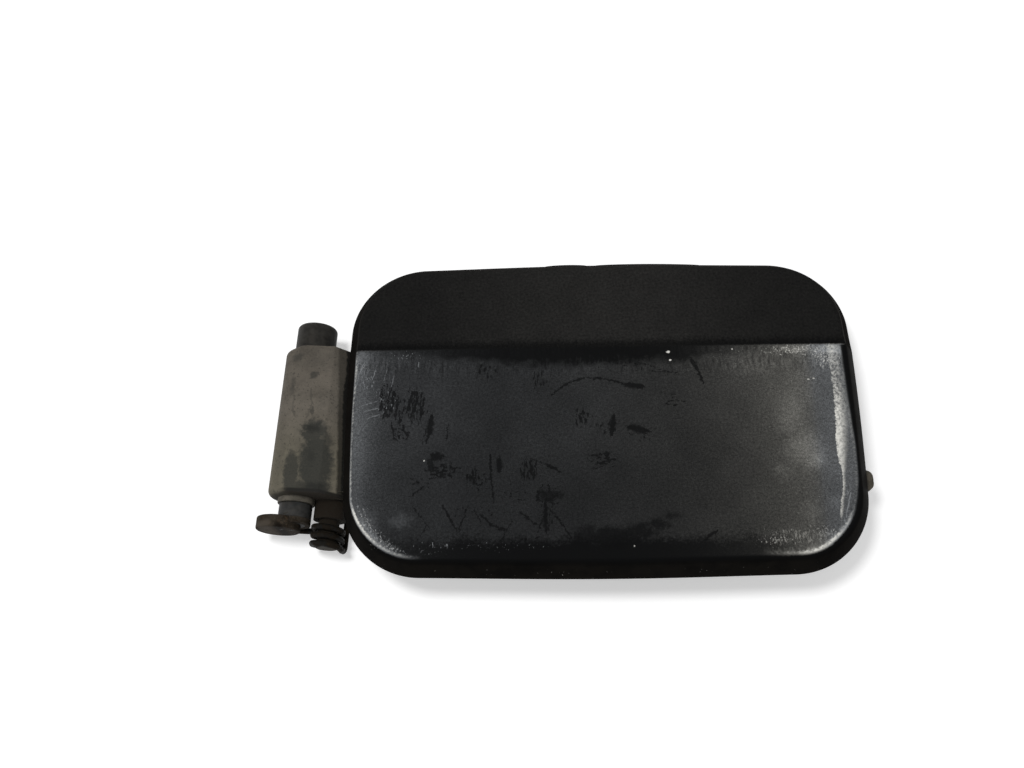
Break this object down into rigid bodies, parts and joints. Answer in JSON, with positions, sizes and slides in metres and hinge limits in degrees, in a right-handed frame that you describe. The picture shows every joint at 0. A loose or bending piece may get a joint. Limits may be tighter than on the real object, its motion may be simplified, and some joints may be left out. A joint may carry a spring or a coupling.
{
  "type": "fuel filler flap",
  "caption": "Pressed, painted fuel filler flap with a crease, on a moulded hinge arm with its pin, crank and torsion spring, and a moulded latch catch.",
  "frame": {"origin": "on the hinge axis, halfway along the hinge barrel", "axes": "+X from the hinge to the latch, +Y up the flap along its side edge, +Z out of the painted face; the hinge axis lies 3.4 degrees off +Y, towards +X"},
  "size_m": [0.2102, 0.1164, 0.027],
  "materials": {
    "body_paint": "worn black gloss, hazed and scratched",
    "primed_sheet": "dull primer with road dust",
    "arm_moulding": "dusty, stained moulding",
    "bush_moulding": "dull",
    "pin_steel": "dark, dull",
    "sleeve_steel": "blue-grey, dull",
    "rusty_steel": "rusty brown",
    "spring_steel": "rusty brown",
    "catch_moulding": "olive-brown moulding",
    "plated_steel": "dull plating",
    "buffer_rubber": "matt"
  },
  "bodies": {
    "hinge_pin": {"pivot_pin": "pin_steel", "spacer_sleeve": "sleeve_steel", "crank_lever": "rusty_steel"},
    "flap": {"outer_panel": "body_paint", "inner_panel": "primed_sheet", "hinge_arm": "arm_moulding", "upper_bush": "bush_moulding", "lower_bush": "bush_moulding", "torsion_spring": "spring_steel", "latch_catch": "catch_moulding", "arm_screw_upper": "plated_steel", "arm_screw_middle": "plated_steel", "arm_screw_lower": "plated_steel", "arm_nut_upper": "plated_steel", "arm_nut_middle": "plated_steel", "arm_nut_lower": "plated_steel", "catch_screw_upper": "plated_steel", "catch_screw_lower": "plated_steel", "catch_nut_upper": "plated_steel", "catch_nut_lower": "plated_steel", "buffer_upper": "buffer_rubber", "buffer_lower": "buffer_rubber"}
  },
  "joints": [
    {"name": "flap_swing", "type": "hinge", "parent": "hinge_pin", "child": "flap", "pos_m": [0, 0, 0], "axis": [-0.0593, -0.9982, 0], "range_deg": [0, 95], "stiffness_Nm_per_rad": 0.05, "springref_deg": -28.65, "deforming": ["torsion_spring"]}
  ]
}
